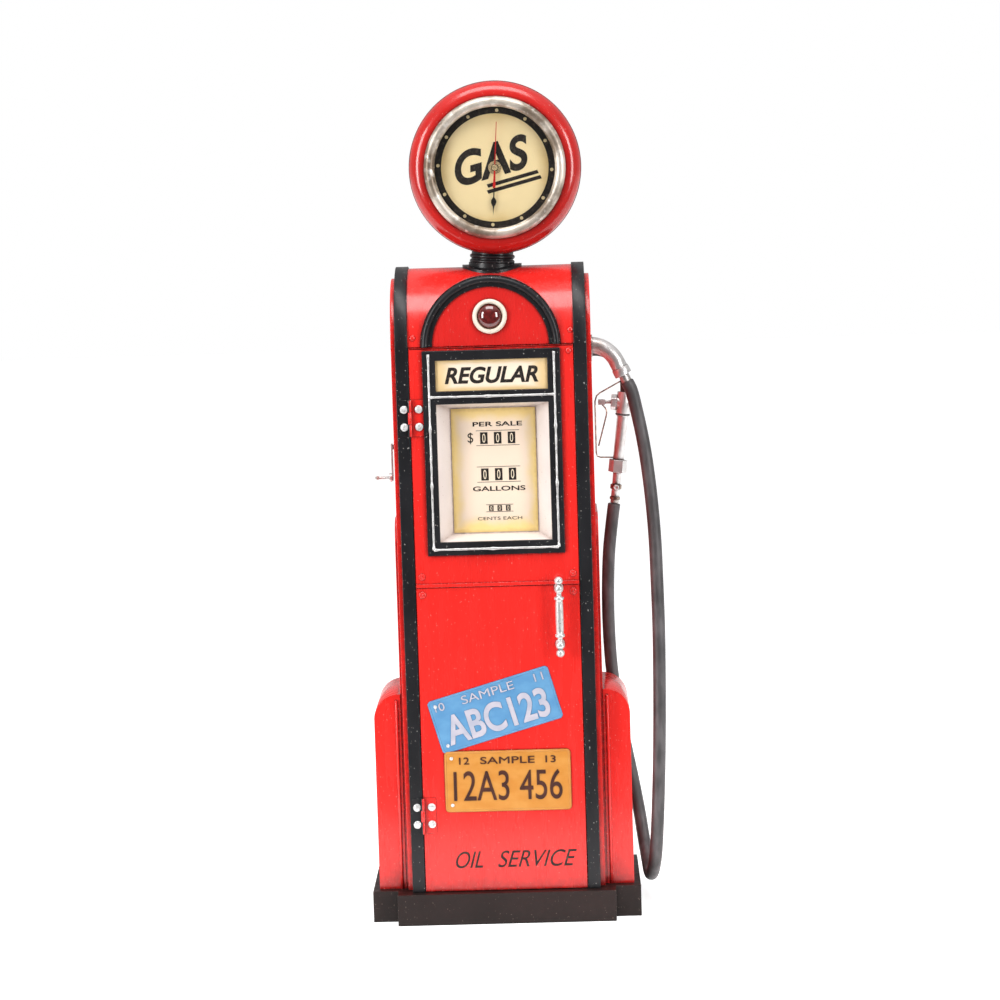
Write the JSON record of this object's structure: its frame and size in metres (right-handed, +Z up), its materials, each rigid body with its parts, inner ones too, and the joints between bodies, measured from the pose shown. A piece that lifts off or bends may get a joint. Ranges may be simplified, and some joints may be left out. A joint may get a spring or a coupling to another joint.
{
  "type": "gas pump",
  "caption": "Slim round-topped gas pump cabinet with a clock globe, one long hinged door, shelves inside, and a side hose with a hanging nozzle.",
  "frame": {"origin": "middle of the plinth's underside, on the floor", "axes": "+Z up the pump, the door and the dial face -Y, +X towards the hose and nozzle"},
  "size_m": [0.3005, 0.1793, 0.8348],
  "materials": {
    "bezel_metal": "brushed and tarnished tin plate",
    "black_metal": "black steel pipe",
    "black_paint": "glossy hand-brushed black enamel",
    "board": "plain board",
    "brown_paint": "dark brown enamel rubbed thin at the edges",
    "cream_paint": "aged cream enamel",
    "dial_print": "printed dial, yellowed",
    "glass": "clear flat glass",
    "lens_red": "dark red moulded lens",
    "magnet": "catch body with a magnet",
    "plastic_black": "black moulded plastic",
    "plate_blue": "pressed plate in sky blue with pale characters",
    "plate_orange": "pressed plate in amber with dark characters",
    "print": "printed card, yellowed at the edges",
    "red_paint": "glossy hand-brushed enamel over tin, with darkened edges",
    "rivet_metal": "dull aluminium rivets",
    "rubber_hose": "satin black rubber hose",
    "silver_paint": "bright silver metal, lightly tarnished",
    "steel": "zinc-plated steel"
  },
  "bodies": {
    "pump_body": {"plinth_shell": "brown_paint", "plinth_board": "board", "side_wall_left": "red_paint", "side_wall_right": "red_paint", "back_panel": "red_paint", "cabinet_floor": "red_paint", "roof_sheet": "red_paint", "door_header": "red_paint", "arch_housing": "red_paint", "arch_moulding": "black_paint", "lamp_bezel": "cream_paint", "lamp_lens": "lens_red", "trim_bands": "black_paint", "side_panel_left": "red_paint", "side_panel_right": "red_paint", "fender_left": "red_paint", "fender_right": "red_paint", "shelf_ledges": "steel", "shelves": "red_paint", "catch_magnet": "magnet", "body_hinges": "black_paint", "body_rivets": "rivet_metal", "neck_flange": "black_paint", "neck_collar": "black_paint", "neck_bolt": "steel", "globe_drum": "red_paint", "globe_rims": "red_paint", "globe_back_cover": "red_paint", "clock_bezel": "bezel_metal", "clock_glass": "glass", "clock_dial": "dial_print", "clock_movement": "plastic_black", "outlet_elbow": "silver_paint", "elbow_collar": "silver_paint", "hose": "rubber_hose", "nozzle_boot": "silver_paint", "crank_bearing": "silver_paint"},
    "door": {"door_panel": "red_paint", "door_seam_strip": "red_paint", "window_frame": "black_paint", "window_piping": "silver_paint", "printed_cards": "print", "shadow_box": "cream_paint", "plate_upper": "plate_blue", "plate_lower": "plate_orange", "door_handle": "silver_paint", "door_hinges": "red_paint", "door_rivets": "rivet_metal", "catch_strike": "steel"},
    "nozzle": {"nozzle_valve": "silver_paint", "nozzle_spout": "black_metal", "nozzle_grip": "silver_paint", "nozzle_nuts": "silver_paint", "nozzle_clamps": "steel", "trigger_guard": "steel"},
    "hour_hand": {"hour_hand": "black_metal"},
    "minute_hand": {"minute_hand": "black_metal"},
    "second_hand": {"second_hand": "red_paint"},
    "trigger": {"nozzle_trigger": "steel"},
    "crank": {"reset_crank": "silver_paint"}
  },
  "joints": [
    {"name": "door_swing", "type": "hinge", "parent": "pump_body", "child": "door", "pos_m": [-0.0812, -0.0787, 0.3], "axis": [0, 0, -1], "range_deg": [0, 110]},
    {"name": "second_hand_spin", "type": "hinge", "parent": "pump_body", "child": "second_hand", "pos_m": [0.00869, 0, 0.74981], "axis": [0, 1, 0], "continuous": true},
    {"name": "minute_hand_spin", "type": "hinge", "parent": "pump_body", "child": "minute_hand", "pos_m": [0.00869, 0, 0.74981], "axis": [0, 1, 0], "continuous": true},
    {"name": "hour_hand_spin", "type": "hinge", "parent": "pump_body", "child": "hour_hand", "pos_m": [0.00869, 0, 0.74981], "axis": [0, 1, 0], "continuous": true},
    {"name": "nozzle_pull", "type": "slide", "parent": "pump_body", "child": "nozzle", "axis": [1, 0, 0], "range_m": [0, 0.025]},
    {"name": "trigger_squeeze", "type": "hinge", "parent": "nozzle", "child": "trigger", "pos_m": [0.108, 0.06, 0.507], "axis": [0, -1, 0], "range_deg": [0, 12], "stiffness_Nm_per_rad": 0.02, "springref_deg": -11.46},
    {"name": "crank_spin", "type": "hinge", "parent": "pump_body", "child": "crank", "pos_m": [-0.0987, 0, 0.4725], "axis": [-1, 0, 0], "continuous": true}
  ],
  "couplings": [
    {"joint": "minute_hand_spin", "follows": "second_hand_spin", "ratio": 0.016667},
    {"joint": "hour_hand_spin", "follows": "second_hand_spin", "ratio": 0.0013889}
  ]
}
